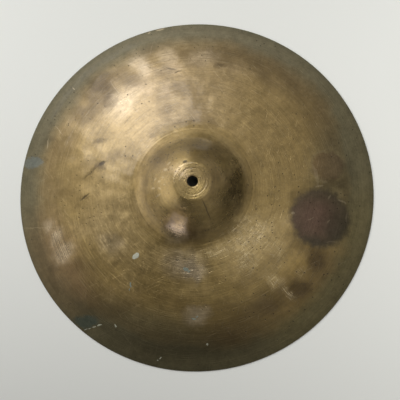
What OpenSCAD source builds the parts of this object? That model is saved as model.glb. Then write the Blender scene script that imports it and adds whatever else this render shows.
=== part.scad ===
// Crash cymbal, 16 inch, in cast and hammered bell bronze.
// A single disc of metal: a bell with a drilled hole, a long shallow bow and a thin rim.
// It lies rim down: the origin is the middle of the rim's plane, and +Z runs up the axis
// through the bell.

/* [Disc] */
// Diameter across the rim
diameter = 406.4; // [400:0.2:412]
// Height from the rim's plane to the seat on top of the bell
total_height = 50; // [48:0.5:56]
// Thickness of the metal at the rim
rim_thickness = 0.8; // [0.6:0.05:1.2]
// Thickness of the metal where the bell meets the bow
bow_thickness = 1.05; // [0.9:0.05:1.4]
// Thickness of the metal at the hole
bell_thickness = 1.4; // [1.2:0.05:1.8]

/* [Bow] */
// Slope of the bow where it leaves the bell, in degrees
bow_inner_slope = 5; // [4:0.5:6.5]
// Slope of the bow at the rim, in degrees
bow_outer_slope = 13.5; // [12:0.5:15]

/* [Bell] */
// Diameter where the fillet round the bell's foot runs out into the bow
bell_diameter = 148; // [144:1:152]
// Slope of the bell's straight flank, in degrees
flank_slope = 38; // [37:0.5:40]
// Radius of the hollow fillet between the flank and the bow
foot_fillet = 40; // [36:1:43]
// Radius of the flat on top of the bell, which is the felt washer's seat
seat_radius = 21; // [19:0.5:23]

/* [Hole] */
// Diameter of the hole for the stand's rod
hole_diameter = 12; // [11:0.1:13]
// Width of the broken edge at each end of the hole
hole_chamfer = 0.2; // [0.1:0.05:0.3]

/* [Turning] */
// Diameter of the groove turned in the seat
seat_groove_diameter = 29.6; // [28:0.2:34]
// Depth of the groove turned in the seat
seat_groove_depth = 0.3; // [0.1:0.05:0.4]
// Width of the groove turned in the seat
seat_groove_width = 1.6; // [1:0.1:2.4]
// Diameter of the witness line turned round the bell's foot
foot_line_diameter = 132; // [128:1:136]
// Depth of the witness line
foot_line_depth = 0.15; // [0.05:0.05:0.25]
// Width of the witness line
foot_line_width = 1.2; // [0.8:0.1:2]
// Width of the flat worn on the rim's lower edge, which it lies on
rim_land = 0.6; // [0.3:0.1:0.8]
// Width of the broken upper edge of the rim
rim_break = 0.2; // [0.1:0.05:0.3]

/* [Smoothness] */
// Steps along each curve of the section
curve_steps = 24; // [12:4:48]

/* [Hidden] */
$fn = 180;

rim_radius = diameter / 2;
bell_radius = bell_diameter / 2;
hole_radius = hole_diameter / 2;
foot_line_radius = foot_line_diameter / 2;
bronze = "#8f7444";

// The bow is one arc, which turns from its inner slope to its outer slope.
bow_end_radius = rim_radius - rim_break;
bow_arc = (bow_end_radius - bell_radius) / (sin(bow_outer_slope) - sin(bow_inner_slope));
bow_rise = bow_arc * (cos(bow_inner_slope) - cos(bow_outer_slope));
bell_foot_height = rim_thickness + bow_rise;

// The crown is a cap of a sphere, cut flat by the seat. It runs down to the straight flank,
// and the fillet eases the flank back to the bow's inner slope.
// The crown's radius follows from the bell's height.
bell_rise = total_height - bell_foot_height;
fillet_run = foot_fillet * (sin(flank_slope) - sin(bow_inner_slope));
fillet_rise = foot_fillet * (cos(bow_inner_slope) - cos(flank_slope));
flank_end_radius = bell_radius - fillet_run;
flank_end_height = bell_foot_height + fillet_rise;
function flank_height_at(radius) =
    flank_end_height + (flank_end_radius - radius) * tan(flank_slope);
function seat_slope_of(crown) = asin(seat_radius / crown);
function seat_height_of(crown) =
    flank_height_at(crown * sin(flank_slope))
    + crown * (cos(seat_slope_of(crown)) - cos(flank_slope));
// Halves the interval until the crown brings the seat to the total height.
function fitted_crown(low, high, steps = 40) =
    let (middle = (low + high) / 2)
    steps == 0 ? middle
    : seat_height_of(middle) > total_height ? fitted_crown(middle, high, steps - 1)
    : fitted_crown(low, middle, steps - 1);
crown_radius = fitted_crown(40, flank_end_radius / sin(flank_slope));
crown_end_radius = crown_radius * sin(flank_slope);
seat_slope = seat_slope_of(crown_radius);

// Points of the section as [radius, height, slope], from the seat out to the rim.
function crown_point(slope) = [
    crown_radius * sin(slope),
    flank_height_at(crown_end_radius) + crown_radius * (cos(slope) - cos(flank_slope)),
    slope
];
function fillet_point(slope) = [
    bell_radius - foot_fillet * (sin(slope) - sin(bow_inner_slope)),
    bell_foot_height + foot_fillet * (cos(bow_inner_slope) - cos(slope)),
    slope
];
function bow_point(slope) = [
    bell_radius + bow_arc * (sin(slope) - sin(bow_inner_slope)),
    bell_foot_height - bow_arc * (cos(bow_inner_slope) - cos(slope)),
    slope
];
foot_line_slope = asin((bell_radius - foot_line_radius) / foot_fillet + sin(bow_inner_slope));
function share(i) = i / curve_steps;
function between(a, b, t) = a + (b - a) * t;
top_curve = concat(
    [for (i = [0 : curve_steps]) crown_point(between(seat_slope, flank_slope, share(i)))],
    [for (i = [0 : curve_steps - 1]) fillet_point(between(flank_slope, bow_inner_slope, share(i)))],
    [for (i = [0 : curve_steps]) bow_point(between(bow_inner_slope, bow_outer_slope, share(i)))]
);

// The metal is thickest at the hole and thins steadily to the bell's foot, then to the rim.
function thickness_at(radius) = radius < bell_radius
    ? between(bell_thickness, bow_thickness, (radius - seat_radius) / (bell_radius - seat_radius))
    : between(bow_thickness, rim_thickness, (radius - bell_radius) / (rim_radius - bell_radius));
function underside(p) =
    let (t = thickness_at(p[0]))
    [p[0] - t * sin(p[2]), p[1] - t * cos(p[2])];
// The outermost point is left to the rim, and the innermost to the flat under the seat.
bottom_curve = [for (i = [len(top_curve) - 2 : -1 : 1]) underside(top_curve[i])];

// Half of the disc's section, to the right of the axis.
module section() {
    seat_top = total_height;
    seat_bottom = total_height - bell_thickness;
    polygon(concat(
        [
            [hole_radius, seat_bottom + hole_chamfer],
            [hole_radius, seat_top - hole_chamfer],
            [hole_radius + hole_chamfer, seat_top]
        ],
        [for (p = top_curve) [p[0], p[1]]],
        [
            [rim_radius, rim_thickness - rim_break],
            [rim_radius, 0],
            [rim_radius - rim_land, 0]
        ],
        bottom_curve,
        [
            [seat_radius - bell_thickness * tan(seat_slope / 2), seat_bottom],
            [hole_radius + hole_chamfer, seat_bottom]
        ]
    ));
}

// The cutter for a shallow turned groove: a ring whose V section has its mouth at the given
// height and lies along the given slope. It carries on above its mouth at the same angle,
// by as much again as its depth.
module turned_groove(radius, height, slope, width, depth) {
    rotate_extrude()
        translate([radius, height])
            rotate(-slope)
                polygon([[-width, depth], [0, -depth], [width, depth]]);
}

module cymbal() {
    color(bronze)
        difference() {
            rotate_extrude() section();
            turned_groove(
                seat_groove_diameter / 2,
                total_height,
                0,
                seat_groove_width,
                seat_groove_depth
            );
            turned_groove(
                foot_line_radius,
                fillet_point(foot_line_slope)[1],
                foot_line_slope,
                foot_line_width,
                foot_line_depth
            );
        }
}

cymbal();
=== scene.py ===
import math

import bpy
from mathutils import Matrix, Vector


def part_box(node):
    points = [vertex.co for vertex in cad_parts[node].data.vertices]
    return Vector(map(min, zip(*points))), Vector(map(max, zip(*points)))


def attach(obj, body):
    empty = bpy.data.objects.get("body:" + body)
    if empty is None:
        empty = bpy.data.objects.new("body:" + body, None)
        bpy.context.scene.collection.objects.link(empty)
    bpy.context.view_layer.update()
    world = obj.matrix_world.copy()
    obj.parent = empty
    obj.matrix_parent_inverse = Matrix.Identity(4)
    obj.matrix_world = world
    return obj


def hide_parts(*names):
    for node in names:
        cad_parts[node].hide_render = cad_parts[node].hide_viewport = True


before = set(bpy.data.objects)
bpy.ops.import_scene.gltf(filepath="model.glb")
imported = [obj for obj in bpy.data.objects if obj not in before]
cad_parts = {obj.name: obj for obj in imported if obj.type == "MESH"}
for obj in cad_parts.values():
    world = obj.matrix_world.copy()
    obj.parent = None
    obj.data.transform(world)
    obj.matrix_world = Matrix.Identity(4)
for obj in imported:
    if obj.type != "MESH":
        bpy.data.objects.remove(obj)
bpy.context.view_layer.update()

MM = 0.001

# The disc's sizes in millimetres, as its section was drawn. The metal is thickest at the hole.
low_corner, high_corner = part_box("cymbal")
RIM_RADIUS = high_corner.x / MM
SEAT_HEIGHT = high_corner.z / MM
HOLE_RADIUS = 6.0
HOLE_CHAMFER = 0.2
SEAT_RADIUS = 21.0
BELL_RADIUS = 74.0
FLANK_SLOPE = math.radians(38)
FOOT_FILLET = 40.0
RIM_THICKNESS = 0.8
BOW_THICKNESS = 1.05
BELL_THICKNESS = 1.4
RIM_BREAK = 0.2
RIM_LAND = 0.6
BOW_INNER_SLOPE = math.radians(5)
BOW_OUTER_SLOPE = math.radians(13.5)

# How finely the disc is divided.
TURN_STEPS = 448
TOP_STEP = 1.45
UNDERSIDE_STEP = 3.6

BODY = "root"


# Node trees ----------------------------------------------------------------------------


class Value:
    """An output of a node tree. Arithmetic on it adds Math nodes to the tree."""

    def __init__(self, tree, socket):
        self.tree = tree
        self.socket = socket

    def math(self, operation, *terms):
        return self.tree.add("ShaderNodeMath", {"operation": operation}, dict(enumerate(terms)))

    def __add__(self, other):
        return self.math("ADD", self, other)

    def __radd__(self, other):
        return self.math("ADD", other, self)

    def __sub__(self, other):
        return self.math("SUBTRACT", self, other)

    def __rsub__(self, other):
        return self.math("SUBTRACT", other, self)

    def __mul__(self, other):
        return self.math("MULTIPLY", self, other)

    def __rmul__(self, other):
        return self.math("MULTIPLY", other, self)

    def __truediv__(self, other):
        return self.math("DIVIDE", self, other)

    def __rtruediv__(self, other):
        return self.math("DIVIDE", other, self)

    def __pow__(self, other):
        return self.math("POWER", self, other)

    def sine(self):
        return self.math("SINE", self)

    def cosine(self):
        return self.math("COSINE", self)

    def root(self):
        return self.math("SQRT", self)

    def __lt__(self, other):
        return self.math("LESS_THAN", self, other)

    def at_least(self, other):
        return self.math("MAXIMUM", self, other)

    def at_most(self, other):
        return self.math("MINIMUM", self, other)


class Tree:
    """Adds nodes to a node tree and links them."""

    def __init__(self, node_tree):
        self.nodes = node_tree.nodes
        self.links = node_tree.links

    def add(self, kind, settings=None, inputs=None, out=0):
        """Adds one node. Its settings are set first, then its sockets' values or links."""
        node = self.nodes.new(kind)
        for name, value in (settings or {}).items():
            setattr(node, name, value)
        for key, value in (inputs or {}).items():
            socket = find_socket(node.inputs, key)
            if isinstance(value, Value):
                self.links.new(value.socket, socket)
            else:
                socket.default_value = value
        if out is None:
            return node
        return Value(self, find_socket(node.outputs, out))


def find_socket(sockets, key):
    """A socket by its place, its identifier, or the name of the one that is in use."""
    if isinstance(key, int):
        return sockets[key]
    for socket in sockets:
        if socket.identifier == key and socket.enabled:
            return socket
    for socket in sockets:
        if socket.name == key and socket.enabled:
            return socket
    raise KeyError(key)


# The section -----------------------------------------------------------------------------


def bow_shape():
    """The bow's radius of curvature, and the height where it meets the bell."""
    end_radius = RIM_RADIUS - RIM_BREAK
    arc = (end_radius - BELL_RADIUS) / (math.sin(BOW_OUTER_SLOPE) - math.sin(BOW_INNER_SLOPE))
    rise = arc * (math.cos(BOW_INNER_SLOPE) - math.cos(BOW_OUTER_SLOPE))
    return arc, RIM_THICKNESS + rise


BOW_ARC, FOOT_HEIGHT = bow_shape()


FLANK_RADIUS = BELL_RADIUS - FOOT_FILLET * (math.sin(FLANK_SLOPE) - math.sin(BOW_INNER_SLOPE))
FLANK_HEIGHT = FOOT_HEIGHT + FOOT_FILLET * (math.cos(BOW_INNER_SLOPE) - math.cos(FLANK_SLOPE))


def flank_height_at(radius):
    return FLANK_HEIGHT + (FLANK_RADIUS - radius) * math.tan(FLANK_SLOPE)


def fitted_crown():
    """The crown's radius of curvature that brings the seat to its height."""
    low, high = 40.0, FLANK_RADIUS / math.sin(FLANK_SLOPE)
    for _ in range(40):
        crown = (low + high) / 2
        seat = flank_height_at(crown * math.sin(FLANK_SLOPE))
        seat += crown * (math.cos(math.asin(SEAT_RADIUS / crown)) - math.cos(FLANK_SLOPE))
        if seat > SEAT_HEIGHT:
            low = crown
        else:
            high = crown
    return crown


CROWN_CURVE = fitted_crown()
CROWN_RADIUS = CROWN_CURVE * math.sin(FLANK_SLOPE)


def top_at(radius):
    """Height and slope of the upper face at a radius."""
    if radius <= SEAT_RADIUS:
        return SEAT_HEIGHT, 0.0
    if radius <= CROWN_RADIUS:
        slope = math.asin(radius / CROWN_CURVE)
        rise = CROWN_CURVE * (math.cos(slope) - math.cos(FLANK_SLOPE))
        return flank_height_at(CROWN_RADIUS) + rise, slope
    if radius <= FLANK_RADIUS:
        return flank_height_at(radius), FLANK_SLOPE
    if radius <= BELL_RADIUS:
        slope = math.asin((BELL_RADIUS - radius) / FOOT_FILLET + math.sin(BOW_INNER_SLOPE))
        return FOOT_HEIGHT + FOOT_FILLET * (math.cos(BOW_INNER_SLOPE) - math.cos(slope)), slope
    slope = math.asin(min(1.0, (radius - BELL_RADIUS) / BOW_ARC + math.sin(BOW_INNER_SLOPE)))
    return FOOT_HEIGHT - BOW_ARC * (math.cos(BOW_INNER_SLOPE) - math.cos(slope)), slope


def thickness_at(radius):
    if radius < BELL_RADIUS:
        share = (radius - SEAT_RADIUS) / (BELL_RADIUS - SEAT_RADIUS)
        return BELL_THICKNESS + (BOW_THICKNESS - BELL_THICKNESS) * max(0.0, share)
    share = (radius - BELL_RADIUS) / (RIM_RADIUS - BELL_RADIUS)
    return BOW_THICKNESS + (RIM_THICKNESS - BOW_THICKNESS) * share


def spread(start, end, step):
    """Evenly spaced radii from start to end, both included, no further apart than step."""
    count = max(1, math.ceil((end - start) / step))
    return [start + (end - start) * i / count for i in range(count + 1)]


# Turned grooves on the upper face: radius, half width, depth.
GROOVES = (
    (14.8, 0.8, 0.3),
    (18.2, 0.7, 0.06),
    (66.0, 0.6, 0.09),
    (75.5, 0.5, 0.05),
    (92.0, 0.5, 0.05),
    (157.5, 0.5, 0.05),
)


def groove_depth(radius):
    return sum(depth * max(0.0, 1 - abs(radius - at) / half) for at, half, depth in GROOVES)


def top_radii():
    """The upper face's rings: even ones, and the corners of each groove."""
    outer = RIM_RADIUS - RIM_BREAK
    corners = [at + side * half for at, half, _ in GROOVES for side in (-1, 0, 1)]
    corners += [SEAT_RADIUS, outer]
    even = spread(HOLE_RADIUS + HOLE_CHAMFER, outer - 0.6, TOP_STEP)
    even = [r for r in even if all(abs(r - corner) > 0.45 for corner in corners)]
    return sorted(even + corners + [outer - 0.25])


def section_outline():
    """The closed outline of the disc's section as pairs of radius and height, both in mm.
    It climbs the hole's wall, runs out over the upper face and back along the underside."""
    seat_bottom = SEAT_HEIGHT - BELL_THICKNESS
    outline = [
        (HOLE_RADIUS, seat_bottom + HOLE_CHAMFER),
        (HOLE_RADIUS, SEAT_HEIGHT - HOLE_CHAMFER),
    ]
    for radius in top_radii():
        height, _ = top_at(radius)
        outline.append((radius, height - groove_depth(radius)))
    outline += [
        (RIM_RADIUS - 0.04, RIM_THICKNESS - RIM_BREAK + 0.12),
        (RIM_RADIUS, RIM_THICKNESS - RIM_BREAK),
        (RIM_RADIUS, 0.25),
        (RIM_RADIUS - 0.03, 0.08),
        (RIM_RADIUS - 0.15, 0.0),
        (RIM_RADIUS - RIM_LAND, 0.0),
    ]
    for radius in reversed(spread(SEAT_RADIUS + 1.0, RIM_RADIUS - 1.6, UNDERSIDE_STEP)):
        height, slope = top_at(radius)
        thickness = thickness_at(radius)
        outline.append((
            radius - thickness * math.sin(slope),
            height - thickness * math.cos(slope),
        ))
    outline += [
        (SEAT_RADIUS - 0.13, seat_bottom),
        (HOLE_RADIUS + HOLE_CHAMFER, seat_bottom),
    ]
    return outline + outline[:1]


# The disc ------------------------------------------------------------------------------


def new_geometry_tree(name, sockets):
    """An empty geometry tree with named inputs, given as name: kind. Returns the tree and
    its inputs as values."""
    group = bpy.data.node_groups.new(name, "GeometryNodeTree")
    group.interface.new_socket("Geometry", in_out="OUTPUT", socket_type="NodeSocketGeometry")
    for label, kind in sockets.items():
        group.interface.new_socket(label, in_out="INPUT", socket_type="NodeSocket" + kind)
    tree = Tree(group)
    start = tree.add("NodeGroupInput", out=None)
    values = {label: Value(tree, start.outputs[label]) for label in sockets}
    return group, tree, values


def disc_tree():
    """Sweeps a section round the axis, then presses hammer marks into the metal along a
    spiral. The marks sink the upper face and swell the underside by the same amount."""
    group, tree, given = new_geometry_tree("turned and hammered disc", {
        "Section": "Object",
        "Section points": "Int",
        "Steps round": "Int",
        "First radius": "Float",
        "Last radius": "Float",
        "Spacing": "Float",
        "Turn pitch": "Float",
        "Mark reach": "Float",
        "Mark depth": "Float",
        "Warp depth": "Float",
        "Facet depth": "Float",
        "Seed": "Int",
        "Material": "Material",
    })

    def combine(x, y, z):
        return tree.add("ShaderNodeCombineXYZ", inputs={"X": x, "Y": y, "Z": z})

    def separate(vector):
        node = tree.add("ShaderNodeSeparateXYZ", inputs={"Vector": vector}, out=None)
        return [Value(tree, node.outputs[axis]) for axis in "XYZ"]

    def random(low, high, label, offset):
        return tree.add("FunctionNodeRandomValue", {"data_type": "FLOAT"}, {
            "Min": low, "Max": high, "ID": label, "Seed": given["Seed"] + offset,
        }, out="Value")

    # A sheet of points, one column for each step round and one row for each section point.
    sheet = tree.add("GeometryNodeMeshGrid", inputs={
        "Size X": 1.0, "Size Y": 1.0,
        "Vertices X": given["Steps round"] + 1,
        "Vertices Y": given["Section points"],
    }, out="Mesh")
    place = tree.add("GeometryNodeInputPosition")
    across, along, _ = separate(place)
    row = (along + 0.5) * (given["Section points"] - 1)
    row = row.math("ROUND", row)
    outline = tree.add("GeometryNodeObjectInfo", inputs={"Object": given["Section"]}, out="Geometry")
    on_outline = tree.add(
        "GeometryNodeSampleIndex",
        {"data_type": "FLOAT_VECTOR", "domain": "POINT"},
        {"Geometry": outline, "Value": place, "Index": row},
        out="Value",
    )
    radius, _, height = separate(on_outline)
    angle = (across + 0.5) * math.tau
    x = radius * angle.cosine()
    y = radius * angle.sine()

    # Marks along a spiral: each turn is one pitch further out.
    first = given["First radius"]
    last = given["Last radius"]
    pitch = given["Turn pitch"]
    spacing = given["Spacing"]
    count = (last * last - first * first) * math.pi / (pitch * spacing)
    number = tree.add("GeometryNodeInputIndex")
    out_to = (first * first + number * spacing * pitch / math.pi).root()
    turned = (out_to - first) * math.tau / pitch + random(-0.3, 0.3, number, 1) * spacing / out_to
    reach_out = out_to + random(-0.22, 0.22, number, 2) * pitch
    marks = tree.add("GeometryNodePoints", inputs={
        "Count": count,
        "Position": combine(reach_out * turned.cosine(), reach_out * turned.sine(), 0.0),
    }, out=0)
    flat_place = combine(x, y, 0.0)
    gap = tree.add(
        "GeometryNodeProximity",
        {"target_element": "POINTS"},
        {0: marks, "Sample Position": flat_place},
        out="Distance",
    )
    nearest = tree.add("GeometryNodeSampleNearest", {"domain": "POINT"}, {
        "Geometry": marks, "Sample Position": flat_place,
    }, out="Index")
    bowl = (1 - gap / given["Mark reach"]).at_least(0.0)
    bowl = bowl * bowl * (3 - 2 * bowl)
    dent = bowl * random(0.25, 1.0, nearest, 3) * given["Mark depth"]

    # The whole sheet is a little uneven as well.
    swell = tree.add("ShaderNodeTexNoise", {"noise_dimensions": "3D"}, {
        "Vector": flat_place, "Scale": 42.0, "Detail": 1.0, "Roughness": 0.35,
    }, out="Fac")
    facets = tree.add("ShaderNodeTexNoise", {"noise_dimensions": "3D"}, {
        "Vector": combine(angle.cosine() * 8, angle.sine() * 8, radius / 0.019),
        "Scale": 1.0, "Detail": 0.5, "Roughness": 0.3,
    }, out="Fac")
    warp = swell * given["Warp depth"] + facets * given["Facet depth"]

    # Nothing moves at the felt seat or at the rim.
    def ease(value, start, end):
        return tree.add(
            "ShaderNodeMapRange",
            {"interpolation_type": "SMOOTHSTEP"},
            {"Value": value, "From Min": start, "From Max": end},
        )

    seat_still, seat_free = 0.022, 0.032
    rim_still, rim_free = 0.1985, 0.186
    bell_end, bow_start = 0.062, 0.080
    free = ease(radius, seat_still, seat_free) * ease(radius, rim_still, rim_free)
    on_bow = ease(radius, bell_end, bow_start)
    sink = free * (dent * (0.3 + 0.7 * on_bow) + warp * (0.35 + 0.65 * on_bow))
    raised = combine(x, y, height - sink)

    turned_disc = tree.add("GeometryNodeSetPosition", inputs={"Geometry": sheet, "Position": raised})
    closed = tree.add("GeometryNodeMergeByDistance", inputs={
        "Geometry": turned_disc, "Distance": 0.000001,
    })
    smooth = tree.add("GeometryNodeSetShadeSmooth", inputs={0: closed})
    real = tree.add("GeometryNodeRealizeInstances", inputs={"Geometry": smooth})
    painted = tree.add("GeometryNodeSetMaterial", inputs={
        "Geometry": real, "Material": given["Material"],
    })
    tree.add("NodeGroupOutput", inputs={"Geometry": painted}, out=None)
    return group


def object_from(name, points, edges=(), faces=()):
    mesh = bpy.data.meshes.new(name)
    mesh.from_pydata(points, edges, faces)
    thing = bpy.data.objects.new(name, mesh)
    bpy.context.scene.collection.objects.link(thing)
    return thing


def run_tree(name, group, settings):
    """Runs a geometry tree on an empty mesh and returns its result as a plain object."""
    carrier = object_from(name + "_carrier", [])
    modifier = carrier.modifiers.new(name, "NODES")
    modifier.node_group = group
    inputs = {s.name: s.identifier for s in group.interface.items_tree if s.in_out == "INPUT"}
    for label, value in settings.items():
        modifier[inputs[label]] = value
    depsgraph = bpy.context.evaluated_depsgraph_get()
    mesh = bpy.data.meshes.new_from_object(carrier.evaluated_get(depsgraph))
    mesh.name = name
    piece = bpy.data.objects.new(name, mesh)
    bpy.context.scene.collection.objects.link(piece)
    carrier.modifiers.remove(modifier)
    bpy.data.objects.remove(carrier)
    return piece


def make_disc(material):
    outline = section_outline()
    points = [(radius * MM, 0.0, height * MM) for radius, height in outline]
    edges = [(i, i + 1) for i in range(len(points) - 1)]
    section = object_from("section", points, edges)
    disc = run_tree("cymbal_disc", disc_tree(), {
        "Section": section,
        "Section points": len(points),
        "Steps round": TURN_STEPS,
        "First radius": 0.026,
        "Last radius": 0.190,
        "Spacing": 0.024,
        "Turn pitch": 0.022,
        "Mark reach": 0.0145,
        "Mark depth": 0.00022,
        "Warp depth": 0.0005,
        "Facet depth": 0.00030,
        "Seed": 7,
        "Material": material,
    })
    bpy.data.objects.remove(section)
    return disc


# Dried drops on the upper face: x, y, half length, half width in mm, turn in degrees and
# thickness in mm.
DROPS = (
    (-64.5, -77.5, 4.6, 2.8, 42, 0.45),
    (-9.0, -92.5, 3.6, 1.8, -25, 0.20),
    (-5.5, -95.0, 2.0, 1.0, 20, 0.20),
    (-70.5, -109.0, 1.0, 3.4, 10, 0.18),
    (-71.5, -114.5, 0.9, 1.8, -20, 0.15),
    (-121.5, -157.6, 2.4, 0.5, 20, 0.15),
    (-117.5, -156.6, 1.6, 0.5, 5, 0.15),
    (-112.5, -155.0, 3.0, 0.6, 18, 0.20),
    (-106.0, -153.0, 3.0, 1.1, 8, 0.30),
    (-87.5, -153.5, 2.2, 1.1, -45, 0.25),
    (-0.5, -146.5, 3.0, 1.0, -10, 0.18),
    (3.0, -144.0, 1.4, 0.8, 40, 0.18),
    (14.0, -174.0, 1.3, 0.9, 0, 0.25),
    (-37.5, -188.5, 1.8, 0.8, 45, 0.20),
    (-41.0, -191.0, 1.0, 0.6, 10, 0.20),
)


def crust_tree():
    """Squashes a ball at each drop's place, roughens its outline and lays it on the metal."""
    group, tree, given = new_geometry_tree("drops dried on the disc", {
        "Places": "Object",
        "Disc": "Object",
        "Fineness": "Int",
        "Ragged reach": "Float",
        "Sink": "Float",
        "Material": "Material",
    })

    def named(name, kind="FLOAT"):
        return tree.add("GeometryNodeInputNamedAttribute", {"data_type": kind}, {"Name": name})

    places = tree.add("GeometryNodeObjectInfo", inputs={"Object": given["Places"]}, out="Geometry")
    metal = tree.add("GeometryNodeObjectInfo", inputs={"Object": given["Disc"]}, out="Geometry")
    ball = tree.add("GeometryNodeMeshIcoSphere", inputs={
        "Radius": 1.0, "Subdivisions": given["Fineness"],
    }, out="Mesh")
    turn = tree.add("ShaderNodeCombineXYZ", inputs={"X": 0.0, "Y": 0.0, "Z": named("turn")})
    turn = tree.add("FunctionNodeEulerToRotation", inputs={"Euler": turn})
    balls = tree.add("GeometryNodeInstanceOnPoints", inputs={
        "Points": places, "Instance": ball, "Rotation": turn, "Scale": named("size", "FLOAT_VECTOR"),
    })
    real = tree.add("GeometryNodeRealizeInstances", inputs={"Geometry": balls})

    # The outline is pushed about sideways, then each point drops on to the metal.
    place = tree.add("GeometryNodeInputPosition")
    pushes = tree.add("ShaderNodeTexNoise", {"noise_dimensions": "3D"}, {
        "Vector": place, "Scale": 260.0, "Detail": 3.0, "Roughness": 0.65,
    }, out="Color")
    centred = tree.add("ShaderNodeVectorMath", {"operation": "SUBTRACT"}, {
        0: pushes, 1: (0.5, 0.5, 0.5),
    })
    sideways = tree.add("ShaderNodeVectorMath", {"operation": "MULTIPLY"}, {
        0: centred, 1: (1.0, 1.0, 0.0),
    })
    pushed = tree.add("ShaderNodeVectorMath", {"operation": "SCALE"}, {
        0: sideways, "Scale": given["Ragged reach"],
    })
    ragged = tree.add("GeometryNodeSetPosition", inputs={"Geometry": real, "Offset": pushed})
    spread_out = tree.add("ShaderNodeSeparateXYZ", inputs={"Vector": place}, out=None)
    x = Value(tree, spread_out.outputs["X"])
    y = Value(tree, spread_out.outputs["Y"])
    thickness = Value(tree, spread_out.outputs["Z"])
    above = tree.add("ShaderNodeCombineXYZ", inputs={"X": x, "Y": y, "Z": 0.1})
    hit = tree.add("GeometryNodeRaycast", inputs={
        "Target Geometry": metal,
        "Source Position": above,
        "Ray Direction": (0.0, 0.0, -1.0),
        "Ray Length": 0.2,
    }, out="Hit Position")
    landing = tree.add("ShaderNodeSeparateXYZ", inputs={"Vector": hit}, out="Z")
    laid = tree.add("ShaderNodeCombineXYZ", inputs={
        "X": x, "Y": y, "Z": landing + thickness - given["Sink"],
    })
    draped = tree.add("GeometryNodeSetPosition", inputs={"Geometry": ragged, "Position": laid})
    smooth = tree.add("GeometryNodeSetShadeSmooth", inputs={0: draped})
    painted = tree.add("GeometryNodeSetMaterial", inputs={
        "Geometry": smooth, "Material": given["Material"],
    })
    tree.add("NodeGroupOutput", inputs={"Geometry": painted}, out=None)
    return group


def make_crust(disc, material):
    places = object_from("drop_places", [(x * MM, y * MM, 0.0) for x, y, *_ in DROPS])
    given = places.data.attributes
    given.new("size", "FLOAT_VECTOR", "POINT")
    given.new("turn", "FLOAT", "POINT")
    for i, (_, _, half_long, half_wide, turn, thickness) in enumerate(DROPS):
        given["size"].data[i].vector = (half_long * MM, half_wide * MM, thickness * MM)
        given["turn"].data[i].value = math.radians(turn)
    crust = run_tree("dried_spots", crust_tree(), {
        "Places": places,
        "Disc": disc,
        "Fineness": 4,
        "Ragged reach": 0.0032,
        "Sink": 0.00008,
        "Material": material,
    })
    bpy.data.objects.remove(places)
    return crust


# Finishes ------------------------------------------------------------------------------


class Finish(Tree):
    """A metal or crust finish: a material tree with the coordinates that the patterns use."""

    def __init__(self, name):
        self.material = bpy.data.materials.new(name)
        self.material.use_nodes = True
        self.material.node_tree.nodes.clear()
        super().__init__(self.material.node_tree)
        self.place = self.add("ShaderNodeTexCoord", out="Object")
        self.x, self.y, _ = self.split(self.place)
        self.radius = (self.x * self.x + self.y * self.y).root()

    def split(self, vector):
        node = self.add("ShaderNodeSeparateXYZ", inputs={"Vector": vector}, out=None)
        return [Value(self, node.outputs[axis]) / MM for axis in "XYZ"]

    def combine(self, x, y, z):
        return self.add("ShaderNodeCombineXYZ", inputs={"X": x, "Y": y, "Z": z})

    def noise(self, vector, scale, detail=3.0, roughness=0.5, distortion=0.0):
        return self.add("ShaderNodeTexNoise", {"noise_dimensions": "3D"}, {
            "Vector": vector, "Scale": scale, "Detail": detail,
            "Roughness": roughness, "Distortion": distortion,
        }, out="Fac")

    def ease(self, value, start, end, low=0.0, high=1.0):
        """Goes smoothly from low to high as value goes from start to end."""
        smooth = {"interpolation_type": "SMOOTHSTEP", "clamp": False}
        return self.add("ShaderNodeMapRange", smooth, {
            "Value": value, "From Min": start, "From Max": end,
            "To Min": low, "To Max": high,
        })

    def mix(self, share, first, second, blend="MIX"):
        """Mixes two colours. Each is a value or three numbers."""
        def colour(c):
            return c if isinstance(c, Value) else (*c, 1.0)
        return self.add("ShaderNodeMix", {"data_type": "RGBA", "blend_type": blend}, {
            "Factor_Float": share, "A_Color": colour(first), "B_Color": colour(second),
        }, out="Result_Color")

    def shade(self, colour, amount):
        """A colour made lighter or darker by a number that varies."""
        return self.add("ShaderNodeVectorMath", {"operation": "SCALE"}, {
            0: colour, "Scale": amount,
        })

    def spot(self, x, y, half_long, half_wide, turn=0.0, edge=0.3, place=None):
        """1 inside an oval on the upper face, fading to 0 over its edge. Sizes are in mm, the
        turn is in degrees, and the edge is a share of the oval's size."""
        outer = 1 + edge
        inside = self.add("ShaderNodeMapping", {"vector_type": "TEXTURE"}, {
            "Vector": place or self.place,
            "Location": (x * MM, y * MM, 0.0),
            "Rotation": (0.0, 0.0, math.radians(turn)),
            "Scale": (half_long * outer * MM, half_wide * outer * MM, 1000.0),
        })
        depth = self.add("ShaderNodeTexGradient", {"gradient_type": "SPHERICAL"}, {
            "Vector": inside,
        }, out="Fac")
        return self.ease(depth, 0.0, 2 * edge / outer)

    def spots(self, rows, edge, place=None):
        """Adds up many ovals, each given as x, y, half length, half width, turn, strength."""
        total = 0.0
        for x, y, half_long, half_wide, turn, strength in rows:
            total = self.spot(x, y, half_long, half_wide, turn, edge, place) * strength + total
        return total

    def shifted(self, place, scale, reach):
        """A place pushed about by noise, up to a reach in mm, so that what is drawn there
        gets a ragged outline."""
        pushes = self.add("ShaderNodeTexNoise", {"noise_dimensions": "3D"}, {
            "Vector": place, "Scale": scale, "Detail": 3.0, "Roughness": 0.55,
        }, out="Color")
        centred = self.add("ShaderNodeVectorMath", {"operation": "SUBTRACT"}, {
            0: pushes, 1: (0.5, 0.5, 0.5),
        })
        return self.add("ShaderNodeVectorMath", {"operation": "MULTIPLY_ADD"}, {
            0: centred, 1: (2 * reach * MM, 2 * reach * MM, 0.0), 2: place,
        })


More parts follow.
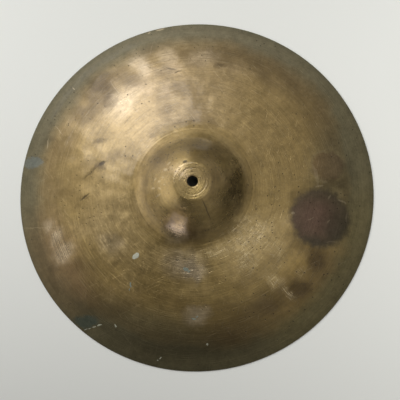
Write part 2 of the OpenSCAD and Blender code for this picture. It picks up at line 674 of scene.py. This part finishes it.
# Tarnish on the upper face, where fewer hands and sticks rubbed it, and painted shade on
# the bell and round its foot: x, y, half length, half width in mm, turn in degrees, and strength.
TARNISH_AND_SHADE = (
    (-111, 123, 18, 15, 40, 0.85),
    (-97, 106, 12, 9, 60, 0.55),
    (-126, 88, 17, 12, -20, 0.55),
    (-149, 54, 15, 10, 20, 0.4),
    (-88, 141, 10, 7, 20, 0.35),
    (-73, 128, 13, 9, 0, 0.6),
    (-33, 140, 10, 8, 0, 0.4),
    (-17, 119, 10, 8, 0, 0.45),
    (-33, 89, 9, 9, 0, 0.45),
    (-10, 164, 13, 7, 0, 0.45),
    (32, 161, 22, 8, -10, 0.45),
    (27, 122, 7, 15, 0, 0.3),
    (78, 134, 10, 18, 30, 0.4),
    (112, 120, 9, 20, 35, 0.4),
    (154, 70, 9, 34, 20, 0.25),
    (-72, 18, 7, 9, 0, 0.45),
    (-138, 12, 17, 8, 0, 0.35),
    (-133, -90, 14, 9, 30, 0.3),
    (-112, -125, 30, 20, -40, 0.5),
    (0, -172, 78, 19, 0, 0.6),
    (62, -150, 42, 18, 25, 0.5),
    (85, -122, 22, 13, 30, 0.6),
    (119, -114, 13, 10, 30, 0.5),
    (137, -85, 10, 15, 0, 0.45),
    (-24, -43, 7, 6, 30, 0.3),
    (8, 42, 30, 13, -10, 0.5),
    (-35, 28, 12, 14, 50, 0.3),
    (-108, 27, 6, 4, 20, 0.8),
    (-119, 19, 9, 2, 45, 0.5),
    (-108, 57, 7, 3, 0, 0.5),
    (-124, -10, 6, 2, 25, 0.5),
    (30, 147, 5, 4, 0, 0.6),
    (152, 3, 18, 7, 0, 0.7),
    (172, -5, 6, 16, 20, 0.4),
    (124, -69, 9, 8, 0, 0.5),
    (148, 52, 14, 12, 0, 0.35),
    (-148, 40, 12, 8, 0, 0.3),
    (-90, 38, 14, 7, 10, 0.25),
    (19, 4, 7, 16, 0, 0.5),
    (8, 20, 12, 6, 20, 0.3),
    (19, -13, 6, 8, 0, 0.2),
    (-56, 0, 5, 20, 0, 0.5),
    (-48, -30, 5, 16, 32, 0.5),
    (2, -57, 15, 9, 0, 0.6),
    (34, -52, 14, 6, 33, 0.35),
    (-45, 27, 12, 7, 60, 0.3),
    (0, 74, 26, 8, 0, 0.55),
    (-38, 64, 16, 8, 30, 0.35),
    (-66, 37, 8, 16, 30, 0.3),
    (-80, -142, 22, 8, -30, 0.25),
    (38, -142, 36, 11, 12, 0.4),
    (0, -135, 30, 9, 0, 0.35),
    (110, -62, 10, 12, 0, 0.45),
    (0, 106, 13, 16, 0, 0.35),
    (60, -104, 16, 8, 30, 0.3),
    (176, 20, 8, 14, 0, 0.4),
    (-110, 98, 10, 9, 0, 0.4),
    (-108, 62, 12, 8, 30, 0.35),
    (-38, 110, 9, 10, 0, 0.35),
    (-56, 166, 15, 8, 30, 0.35),
    (76, 152, 28, 9, -27, 0.3),
    (130, 78, 9, 20, 20, 0.3),
    (6, 88, 11, 6, 0, 0.35),
    (-146, -4, 14, 6, 0, 0.4),
    (-124, 30, 12, 9, 0, 0.3),
    (142, -76, 18, 10, -45, 0.35),
    (112, -102, 14, 10, -40, 0.2),
    (86, -80, 13, 7, 0, 0.3),
    (40, -128, 15, 6, 8, 0.3),
    (4, 34, 26, 12, 0, 0.25),
    (-32, 38, 14, 9, 40, 0.25),
    (-5, -50, 7, 10, 0, 0.5),
    (-16, -36, 9, 6, -20, 0.4),
    (-28, -44, 6, 6, 0, 0.5),
    (-168, 58, 8, 6, 0, 0.35),
    (-147, 68, 8, 8, 0, 0.2),
    (-110, -86, 8, 8, 0, 0.2),
    (112, -25, 7, 20, 0, 0.35),
    (124, -7, 14, 5, 20, 0.35),
    (0, 150, 10, 6, 0, 0.35),
    (42, 147, 20, 7, -10, 0.3),
    (48, 86, 12, 6, -30, 0.2),
    (53, 62, 6, 5, 0, 0.3),
    (-28, 65, 18, 4, 22, 0.25),
    (-87, 34, 12, 7, 0, 0.25),
    (-48, -2, 7, 12, 0, 0.2),
    (108, -112, 14, 10, -40, 0.12),
    (128, -84, 12, 8, -60, 0.3),
    (-55, -35, 6, 18, 32, 0.3),
    (130, -95, 14, 20, -35, 0.35),
    (112, -122, 14, 14, 0, 0.3),
    (-120, -88, 10, 8, 0, 0.35),
    (-68, -130, 14, 10, 0, 0.35),
    (-85, -66, 5, 5, 0, 0.4),
    (-88, -84, 7, 5, 0, 0.4),
    (-160, -90, 6, 5, 0, 0.4),
)

# Places that were rubbed bright, and painted highlights where the turned grooves below right
# of the bell and the bell's flank catch the light, in the same way.
RUBBED_AND_HIGHLIGHTS = (
    (70, -66, 40, 24, 35, 0.75),
    (96, -112, 16, 8, -40, 0.5),
    (122, -77, 8, 6, 30, 0.2),
    (-150, -73, 17, 13, 60, 0.6),
    (-164, -56, 18, 10, 65, 0.5),
    (-92, -122, 15, 12, 0, 0.15),
    (73, -135, 15, 8, 15, 0.7),
    (40, -160, 10, 5, 20, 0.3),
    (-24, 145, 8, 7, 0, 0.4),
    (0, 155, 12, 8, 0, 0.3),
    (-155, 76, 12, 9, 40, 0.35),
    (-165, 42, 12, 10, 0, 0.15),
    (-135, 100, 8, 6, 30, 0.4),
    (38, 34, 18, 9, -40, 0.4),
    (24, -20, 10, 8, 0, 0.4),
    (-36, -36, 10, 8, -45, 0.35),
    (118, -74, 10, 5, 30, 0.2),
    (-12, -26, 7, 5, -20, 0.6),
    (25, -72, 18, 8, 20, 0.4),
    (62, -58, 22, 9, 35, 0.4),
    (-98, 14, 14, 6, 0, 0.35),
    (-172, 0, 12, 7, 0, 0.4),
    (-115, 47, 10, 6, 0, 0.35),
    (-100, 130, 10, 7, 30, 0.3),
    (-58, 120, 9, 8, 0, 0.35),
    (-61, -8, 4, 20, 0, 0.4),
    (105, -37, 8, 8, 0, 0.4),
    (-88, -132, 14, 8, -30, 0.3),
    (160, 58, 12, 14, 0, 0.3),
    (-120, -45, 22, 11, 10, 0.45),
    (-94, -67, 15, 10, -20, 0.55),
    (-70, -112, 10, 14, 20, 0.3),
    (-5, -86, 9, 16, 0, 0.6),
    (3, -143, 9, 7, 20, 0.6),
    (0, -115, 18, 10, 0, 0.3),
    (-37, -77, 20, 10, 40, 0.35),
    (-30, 158, 8, 12, 0, 0.45),
    (-62, 150, 10, 16, 30, 0.45),
    (15, 157, 14, 9, 0, 0.35),
    (-33, 118, 5, 12, 0, 0.3),
    (46, 145, 24, 7, -15, 0.3),
    (-145, 80, 8, 10, 30, 0.3),
    (-100, 30, 26, 10, 10, 0.25),
    (-84, -48, 24, 46, 30, 0.45),
    (15, -45, 12, 10, 30, 0.3),
    (-28, 13, 10, 12, 0, 0.3),
    (-12, 14, 10, 8, -45, 0.7),
    (45, -14, 9, 20, 15, 0.7),
    (40, 18, 8, 14, -20, 0.4),
    (30, 52, 14, 6, -30, 0.3),
    (0, 60, 16, 5, 0, 0.35),
    (-30, 52, 14, 6, 30, 0.3),
)

# Places worn to paler metal, and painted pale reflections of the lights on the lower left,
# the upper left and the bell, in the same way.
PALE_WEAR_AND_REFLECTIONS = (
    (-149, -74, 11, 9, 60, 0.9),
    (-157, -54, 9, 6, 65, 0.8),
    (-168, -42, 7, 5, 65, 0.7),
    (-95, -62, 13, 8, -20, 0.35),
    (-10, -88, 18, 13, -10, 0.8),
    (-2, -95, 9, 8, 0, 0.8),
    (3, -143, 12, 8, 20, 0.9),
    (-32, 160, 8, 12, 0, 0.35),
    (-64, 150, 9, 13, 30, 0.5),
    (-82, 102, 20, 12, 50, 0.5),
    (12, 158, 12, 8, 0, 0.3),
    (-20, -54, 10, 8, -15, 0.6),
)

# Places scratched to and fro, where their glints are painted into the colour, in the same way.
CROSSED = (
    (50, -46, 16, 7, 35, 1.0),
    (66, -57, 16, 8, 35, 1.5),
    (58, -84, 9, 11, 0, 1.1),
    (30, -72, 22, 6, 20, 0.7),
    (88, -68, 12, 8, -40, 0.5),
    (88, -106, 8, 5, -30, 0.9),
    (104, -120, 7, 4, -35, 0.9),
    (88, -92, 12, 6, 45, 0.25),
    (117, -95, 5, 4, 0, 0.3),
)

# Short marks with a crisp edge, in the same way: dark dents and scratches, then light ones.
DARK_MARKS = (
    (-8, 22, 2.6, 1.8, 20, 0.8),
    (15, -30, 10, 0.7, -66, 0.5),
    (-27, 143, 6, 1.0, -15, 0.45),
    (-19, 139, 4, 0.8, 25, 0.5),
    (-124, -10, 6, 0.9, 30, 0.6),
    (-105, 28, 4, 2.2, 25, 0.6),
    (-118, 19, 12, 0.6, 42, 0.25),
    (-18, -83, 2.2, 0.8, -10, 0.7),
    (-28, 30, 5, 0.7, 80, 0.3),
    (37, 3, 3, 0.8, 60, 0.3),
)
LIGHT_MARKS = (
    (-172, -43, 27, 0.5, 0, 0.25),
    (-42, 197, 5, 1.0, 12, 0.8),
    (-55, 193, 2, 1.0, 30, 0.6),
    (-144, 124, 2.2, 0.7, -50, 0.6),
    (-93, 120, 12, 0.5, -60, 0.25),
    (-96, 112, 9, 0.4, 5, 0.2),
    (-52, 172, 8, 0.4, 80, 0.2),
    (-160, 72, 8, 0.5, -50, 0.4),
    (-172, 55, 6, 0.6, 80, 0.5),
    (-30, 14, 2.0, 1.4, 0, 0.8),
    (-37, 2, 1.6, 1.2, 0, 0.6),
    (-26, 22, 2.6, 1.0, 60, 0.6),
    (-44, -5, 2.0, 1.2, 0, 0.6),
    (-38, -14, 4.0, 1.0, 20, 0.5),
    (-33, 6, 1.4, 1.0, 0, 0.6),
    (-24, 16, 1.2, 1.0, 0, 0.5),
    (-36, -6, 2.4, 1.0, -30, 0.5),
    (-42, 5, 1.8, 1.0, 40, 0.5),
    (-31, -3, 1.2, 0.8, 0, 0.4),
    (86, -76, 3, 0.5, -20, 0.4),
    (62, -84, 4, 0.5, -40, 0.4),
    (104, -120, 4, 0.7, -40, 0.5),
    (90, -107, 4, 0.6, 60, 0.4),
    (40, -62, 5, 0.5, 35, 0.4),
    (137, 14, 2.0, 12, 12, 0.25),
    (141, 1, 5, 1.0, 15, 0.3),
    (166, -17, 5, 1.2, -30, 0.35),
    (152, -11, 3, 0.9, 60, 0.25),
    (150, -39, 3, 0.8, 60, 0.25),
    (130, -36, 4, 0.6, 20, 0.3),
    (111, -30, 2, 1.4, 0, 0.5),
    (152, -62, 7, 0.6, 0, 0.15),
    (171, -34, 6, 0.8, 80, 0.15),
)


def make_bronze():
    """Old bell bronze: worn bright where hands and sticks rubbed it, brown and olive elsewhere, with
    painted highlights, glints and shade.
    """
    finish = Finish("old_bell_bronze")
    place = finish.place
    x, y, radius = finish.x, finish.y, finish.radius
    direction_x = x / radius.at_least(1.0)
    direction_y = y / radius.at_least(1.0)

    def turned(step, wobble, detail=2.0):
        """Fine lines round the axis, a step in mm apart, that fade in and out along the turn."""
        return finish.noise(
            finish.combine(radius * (1 / step), direction_x * wobble, direction_y * wobble),
            1.0, detail, 0.6,
        )

    def spokes(step, length, detail=1.0):
        """Fine lines that point at the axis, about a step in mm apart at the rim."""
        return finish.noise(
            finish.combine(radius * (1 / length), direction_x * (200 / step), direction_y * (200 / step)),
            1.0, detail, 0.6,
        )

    lines = turned(0.9, 2.5)
    broad_lines = turned(4.0, 1.2)
    cloud = finish.noise(place, 18.0, 3.0, 0.55)
    mottle = finish.noise(place, 60.0, 3.0, 0.6)
    grain = finish.noise(place, 420.0, 3.0, 0.65)
    ragged = finish.shifted(place, 70.0, 9.0)
    torn = finish.shifted(place, 160.0, 5.0)
    bent = finish.shifted(place, 60.0, 2.5)

    def scratches(turn, length, width, rarity):
        """Fine straight scratches that lie one way, given in degrees, over the whole face."""
        turned_place = finish.add("ShaderNodeMapping", {"vector_type": "TEXTURE"}, {
            "Vector": place,
            "Rotation": (0.0, 0.0, math.radians(turn)),
            "Scale": (length * MM, width * MM, 1.0),
        })
        return finish.ease(finish.noise(turned_place, 1.0, 1.0, 0.4), rarity, rarity + 0.06)

    # Rubbed and tarnished metal.
    fine_mottle = finish.noise(place, 150.0, 3.0, 0.6)
    uneven = 0.35 + mottle * 0.8 + fine_mottle * 0.5
    tarnish_and_shade = finish.spots(TARNISH_AND_SHADE, 0.75, ragged) * uneven
    rubbed_and_highlights = finish.spots(RUBBED_AND_HIGHLIGHTS, 0.8, ragged) * uneven
    pale_wear_and_reflections = finish.spots(PALE_WEAR_AND_REFLECTIONS, 0.95, ragged) * uneven
    brown_band = finish.ease(radius + (mottle - 0.5) * 34, 140, 174)
    olive_band = finish.ease(radius + (cloud - 0.5) * 18 + (mottle - 0.5) * 12, 168, 192)
    olive_band = olive_band + finish.spot(166, 6, 34, 66, 0, 0.6) * 0.6
    olive_band = (olive_band + finish.spot(-52, -160, 80, 24, -14, 0.6) * 0.6).at_most(1.0)
    # Painted shade: the outer band is darkened towards the lower left and the bottom.
    painted_shade_left = finish.ease(direction_x * -0.94 + direction_y * -0.34, -0.2, 0.4)
    painted_shade_bottom = finish.ease(direction_y * -1.0, 0.1, 0.6)
    # Rubbed bright metal, and painted highlights where the grooves and the bell's flank catch the light.
    base = finish.mix(rubbed_and_highlights.at_most(1.0), (0.282, 0.196, 0.080), (0.43, 0.31, 0.153))
    base = finish.mix(brown_band * 0.8, base, (0.190, 0.134, 0.062))
    red_brown = finish.spot(-158, -88, 62, 30, -61, 0.6, ragged) * 0.5
    base = finish.mix(red_brown, base, (0.210, 0.128, 0.066))
    base = finish.mix(olive_band * (1 - red_brown) * 0.85, base, (0.145, 0.129, 0.081))
    # Painted shade and sheen: the colour turns yellower and browner towards the shaded lower right, and
    # bluer on the lit upper left, where highlights are paler.
    painted_shade_tint = 0.5 + direction_x * 0.17 - direction_y * 0.47
    painted_shade_tint = painted_shade_tint.at_least(finish.spot(14, 38, 44, 26, -15, 0.6) * 1.3)
    base = finish.mix(painted_shade_tint, base, (1.0, 1.0, 0.86), "MULTIPLY")
    painted_shade_brown_tint = finish.spot(146, -88, 96, 34, 58, 0.5)
    base = finish.mix(painted_shade_brown_tint, base, (1.04, 1.0, 0.88), "MULTIPLY")
    painted_sheen_side = ((0.2 - painted_shade_tint) * 5).at_least(0.0) * (1 - brown_band)
    base = finish.mix(painted_sheen_side, base, (0.98, 1.0, 1.17), "MULTIPLY")
    # Darkened by tarnish, and by painted shade where the spots lie on the bell.
    base = finish.mix(tarnish_and_shade.at_most(1.0), base, (0.38, 0.36, 0.34), "MULTIPLY")
    # Paler worn metal, and painted pale reflections of the lights.
    base = finish.mix(pale_wear_and_reflections.at_most(1.0) * 0.75, base, (0.47, 0.375, 0.245))
    base = finish.shade(base, 0.96 - olive_band * (painted_shade_left * 0.22 + painted_shade_bottom * 0.2 - 0.06))

    # Painted shadow along the rim's edge, with a teal tint.
    painted_rim_shadow = finish.ease(radius, 196.5, 201.0)
    base = finish.mix(painted_rim_shadow * 0.2, base, (0.60, 0.70, 0.74), "MULTIPLY")

    # The big stain and the faint one above it.
    stain = finish.spot(141, -35, 33.5, 33, 0, 0.16, torn)
    stain_core = finish.spot(134, -36, 24, 22, 0, 0.7, torn)
    stain_shade = finish.spot(160, -47, 15, 19, 30, 0.6, torn)
    stain_shade = stain_shade + finish.spot(133, -62, 17, 6, -10, 0.6, torn)
    faint = finish.spot(151, 24, 18, 17, 0, 0.2, torn)
    faint_ring = finish.spot(151, 24, 20, 19, 0, 0.08, torn)
    faint_ring = faint_ring - finish.spot(151, 24, 17.5, 16.5, 0, 0.1, torn)
    base = finish.mix(faint * 0.5, base, (0.46, 0.34, 0.42), "MULTIPLY")
    base = finish.mix(faint_ring.at_least(0.0) * (x < 150.0) * 0.2, base, (0.27, 0.22, 0.12))
    base = finish.mix(stain * (0.78 + mottle * 0.3), base, (0.085, 0.068, 0.042))
    base = finish.mix(stain * stain_core * 0.9, base, (0.150, 0.094, 0.064))
    base = finish.mix(stain * stain_shade.at_most(1.0) * 0.45, base, (0.050, 0.046, 0.030))

    # Verdigris and blue paint that came off something it leaned on.
    blue_patch = finish.spot(-189, 34, 12, 7, 0, 0.2, torn)
    dark_patch = finish.spot(-122, -149, 14, 7, 0, 0.3, torn)
    base = finish.mix(blue_patch * 0.6, base, (0.125, 0.140, 0.125))
    base = finish.mix(dark_patch * 0.8, base, (0.050, 0.062, 0.046))

    # Hairlines round the axis and, below right of the bell, across them too, with painted glints where
    # they cross.
    cross = finish.spots(CROSSED, 0.9, ragged).at_most(1.2)
    hairs = finish.ease(turned(1.2, 7.0, 1.0), 0.55, 0.75)
    crossing = finish.ease(spokes(1.1, 7.0), 0.52, 0.70) * cross
    scored = scratches(-52, 26, 0.9, 0.69) + scratches(24, 34, 0.8, 0.70) + scratches(78, 22, 0.8, 0.70)
    scored = (scored * (1 - olive_band * 0.5)).at_most(1.0) * (1 - stain)
    light_marks = finish.spots(LIGHT_MARKS, 0.35, bent)
    dark_marks = finish.spots(DARK_MARKS, 0.35, bent)
    # Light scratches, made brighter on the lit upper left as a painted sheen.
    light_scratches_and_sheen = hairs * (0.06 + painted_sheen_side * 0.16) * (1 - olive_band) * (1 - stain)
    light_scratches_and_sheen = light_scratches_and_sheen + scored * (0.12 + painted_sheen_side * 0.12) + light_marks * 0.6
    base = finish.mix(light_scratches_and_sheen.at_most(0.9), base, (0.50, 0.40, 0.25))
    # Painted glints: bright gold laid into the colour where the scratches cross.
    painted_glints = (hairs * cross * 0.45 + crossing * 0.55 + cross * 0.08) * (0.3 + fine_mottle * 1.4)
    base = finish.mix(painted_glints.at_most(0.9), base, (0.80, 0.64, 0.36))

    # Pits, which crowd on the left of the bell's crown.
    speck = finish.add(
        "ShaderNodeTexVoronoi",
        {"voronoi_dimensions": "2D", "feature": "F1"},
        {"Vector": place, "Scale": 230.0},
        out=None,
    )
    far_from_speck = Value(finish, speck.outputs["Distance"])
    speck_colour = Value(finish, speck.outputs["Color"])
    chance = finish.add("ShaderNodeSeparateColor", inputs={"Color": speck_colour}, out="Red")
    crowded = finish.spot(-8, 27, 40, 20, 0, 0.6) * 0.35
    pit = finish.ease(far_from_speck, 0.05 + chance * 0.2, 0.03)
    pit = pit * finish.ease(chance + cloud * 0.6 + crowded, 1.26, 1.31)
    base = finish.mix((pit * 0.8 + dark_marks).at_most(0.9), base, (0.03, 0.024, 0.016))

    shade = 1.0 + (mottle - 0.5) * 0.55 + (fine_mottle - 0.5) * 0.55 + (grain - 0.5) * 0.45
    shade = shade + (lines - 0.5) * 0.3 + (broad_lines - 0.5) * (0.3 - olive_band * 0.22)
    base = finish.shade(base, shade)

    flat_top = finish.ease(radius, 23, 19)
    height = lines + flat_top * lines * 1.2 + hairs * 0.35 + crossing * 0.8
    height = height - scored * 0.25 - pit * 1.5 - dark_marks
    rough = 0.33 + olive_band * 0.16 + (mottle - 0.5) * 0.14 + tarnish_and_shade.at_most(1.0) * 0.08
    on_bell = finish.ease(radius, 66, 54)
    rough = rough + stain * 0.2 - pale_wear_and_reflections.at_most(1.0) * 0.1 - on_bell * 0.05
    coat = 0.30 + on_bell * 0.15 - olive_band * 0.2 - stain * 0.2
    bump = finish.add("ShaderNodeBump", inputs={
        "Strength": 1.0, "Distance": 0.00016, "Height": height,
    })
    shader = finish.add("ShaderNodeBsdfPrincipled", inputs={
        "Base Color": base, "Metallic": 1.0, "Roughness": rough, "Normal": bump,
        "Coat Weight": coat, "Coat Roughness": 0.14, "Coat IOR": 1.5,
    })
    finish.add("ShaderNodeOutputMaterial", inputs={"Surface": shader}, out=None)
    return finish.material


def make_crust_finish():
    """Dried drops: chalky pale green, and blue-green where the metal has bloomed."""
    finish = Finish("dried_drops")
    place = finish.place
    chalk = finish.noise(place, 500.0, 3.0, 0.6)
    blotch = finish.noise(place, 160.0, 2.0, 0.5)
    big_drop = finish.spot(-64.5, -77.5, 9, 9, 0, 0.2)
    base = finish.mix(big_drop, (0.22, 0.215, 0.15), (0.42, 0.415, 0.31))
    base = finish.shade(base, 0.75 + blotch * 0.5)
    bloom = finish.spot(-8, -94, 9, 8, 0, 0.3) + finish.spot(-71, -111, 9, 9, 0, 0.3)
    bloom = bloom + finish.spot(0, -146, 8, 8, 0, 0.3)
    base = finish.mix(bloom * 0.85, base, (0.150, 0.168, 0.128))
    base = finish.shade(base, 0.7 + chalk * 0.6)
    bump = finish.add("ShaderNodeBump", inputs={
        "Strength": 1.0, "Distance": 0.0002, "Height": chalk,
    })
    shader = finish.add("ShaderNodeBsdfPrincipled", inputs={
        "Base Color": base, "Roughness": 0.75 + chalk * 0.2, "Normal": bump,
    })
    finish.add("ShaderNodeOutputMaterial", inputs={"Surface": shader}, out=None)
    return finish.material


# The set -------------------------------------------------------------------------------


def point_camera(thing, place, target, top=Vector((0, 1, 0))):
    """Puts a camera or a light at a place, looking at a target, with a chosen side up."""
    place, target = Vector(place), Vector(target)
    forward = (target - place).normalized()
    right = forward.cross(top).normalized()
    upward = right.cross(forward)
    turn = Matrix((right, upward, -forward)).transposed().to_4x4()
    thing.matrix_world = Matrix.Translation(place) @ turn


CAMERA_PLACE = (0.04379, -0.15994, 0.79897)
CAMERA_TARGET = (0.00578, -0.01157, 0.0)
CAMERA_LENS = 63.79


def make_camera():
    camera = bpy.data.objects.new("camera", bpy.data.cameras.new("camera"))
    camera.data.sensor_width = 36.0
    camera.data.lens = CAMERA_LENS
    camera.data.clip_start = 0.01
    bpy.context.scene.collection.objects.link(camera)
    point_camera(camera, CAMERA_PLACE, CAMERA_TARGET)
    bpy.context.scene.camera = camera


def from_above(turn, tilt, distance=1.0):
    """The point at a compass angle and a tilt away from straight up, both in degrees."""
    turn, tilt = math.radians(turn), math.radians(tilt)
    return Vector((
        distance * math.sin(tilt) * math.cos(turn),
        distance * math.sin(tilt) * math.sin(turn),
        distance * math.cos(tilt),
    ))


def make_softbox(name, shape, turn, tilt, distance, width, height, radiance, colour):
    """A soft light. Its power follows from how bright its face is to look."""
    lamp = bpy.data.lights.new(name, "AREA")
    lamp.shape = shape
    lamp.size = width
    lamp.size_y = height
    face = width * height * (math.pi / 4 if shape == "ELLIPSE" else 1.0)
    lamp.energy = radiance * math.pi * face
    lamp.color = colour
    box = bpy.data.objects.new(name, lamp)
    bpy.context.scene.collection.objects.link(box)
    point_camera(box, from_above(turn, tilt, distance), (0, 0, 0), Vector((0, 0, 1)))
    box.visible_camera = False


# Soft glows of the room: compass angle and tilt from straight up, the half widths of the
# full glow and of its fade, all in degrees, and brightness. The angles and widths were
# solved for by a separate least-squares program and copied in. They weren't set by hand.
GLOWS = (
    (302, 40, 0, 60, 0.38),
    (44, 32, 29, 42, 0.46),
    (189, 55, 0, 37, 2.1),
    (136, 86, 35, 46, 1.35),
    (84, 95, 9, 15, 1.5),
    (69, 62, 5, 34, 0.42),
    (103, 59, 3, 18, 0.60),
    (353, 15, 5, 24, 0.32),
)
SHADE_LEVEL = 0.04
BACKDROP_LEVEL = 0.74


def make_room():
    """A plain room of soft glows, dark on the side where the viewer stands. The camera
    itself sees an even pale backdrop."""
    world = bpy.data.worlds.new("room")
    bpy.context.scene.world = world
    world.use_nodes = True
    world.node_tree.nodes.clear()
    tree = Tree(world.node_tree)
    facing = tree.add("ShaderNodeTexCoord", out="Generated")
    level = SHADE_LEVEL
    for turn, tilt, full, fade, brightness in GLOWS:
        towards = tree.add("ShaderNodeVectorMath", {"operation": "DOT_PRODUCT"}, {
            0: facing, 1: tuple(from_above(turn, tilt)),
        }, out="Value")
        level = level + tree.add("ShaderNodeMapRange", {"interpolation_type": "SMOOTHSTEP"}, {
            "Value": towards.math("ARCCOSINE", towards.at_most(1.0)),
            "From Min": math.radians(fade), "From Max": math.radians(full),
            "To Min": 0.0, "To Max": brightness,
        })
    seen = tree.add("ShaderNodeLightPath", out="Is Camera Ray")
    level = level + (BACKDROP_LEVEL - level) * seen
    light = tree.add("ShaderNodeBackground", inputs={
        "Color": (1.0, 0.99, 0.96, 1.0), "Strength": level,
    })
    tree.add("ShaderNodeOutputWorld", inputs={"Surface": light}, out=None)


def make_floor():
    """A plain pale floor, with painted light: its colour is a little lighter towards the window side."""
    size = 6.0
    floor = object_from(
        "floor",
        [(-size, -size, 0), (size, -size, 0), (size, size, 0), (-size, size, 0)],
        faces=[(0, 1, 2, 3)],
    )
    floor.location.z = -0.0002
    paint = bpy.data.materials.new("pale_floor")
    paint.use_nodes = True
    tree = Tree(paint.node_tree)
    shader = paint.node_tree.nodes["Principled BSDF"]
    place = tree.add("ShaderNodeTexCoord", out="Object")
    across = tree.add("ShaderNodeSeparateXYZ", inputs={"Vector": place}, out=None)
    x = Value(tree, across.outputs["X"])
    y = Value(tree, across.outputs["Y"])
    # Painted light: the floor's colour is lighter towards the top and right and darker towards the
    # bottom, where less light falls.
    near = tree.add("ShaderNodeMapRange", {"interpolation_type": "SMOOTHSTEP"}, {
        "Value": (x * x + y * y).root(), "From Min": 0.85, "From Max": 0.35,
    })
    # These coefficients were solved for by a separate program too.
    painted_light_level = 0.845 + near * (x * (0.19 + 0.79 * x - 0.54 * y) + y * (0.485 - 1.36 * y))
    painted_light_level = painted_light_level.at_least(0.6).at_most(0.95)
    colour = tree.add("ShaderNodeCombineXYZ", inputs={
        "X": painted_light_level, "Y": painted_light_level * 0.996, "Z": painted_light_level * 0.91,
    })
    tree.links.new(colour.socket, shader.inputs["Base Color"])
    shader.inputs["Roughness"].default_value = 0.9
    shader.inputs["Specular IOR Level"].default_value = 0.2
    floor.data.materials.append(paint)


make_camera()
make_room()
make_softbox("key_light", "ELLIPSE", 121, 33, 5.0, 2.5, 2.5, 4.8, (0.94, 0.99, 1.13))
make_softbox("side_window", "RECTANGLE", 241, 75, 5.0, 2.4, 2.2, 2.0, (0.96, 0.93, 1.14))
make_floor()
bpy.context.scene.view_settings.view_transform = "Standard"

bronze = make_bronze()
disc = make_disc(bronze)
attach(disc, BODY)
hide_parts("cymbal")
crust = make_crust(disc, make_crust_finish())
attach(crust, BODY)
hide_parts("cymbal")
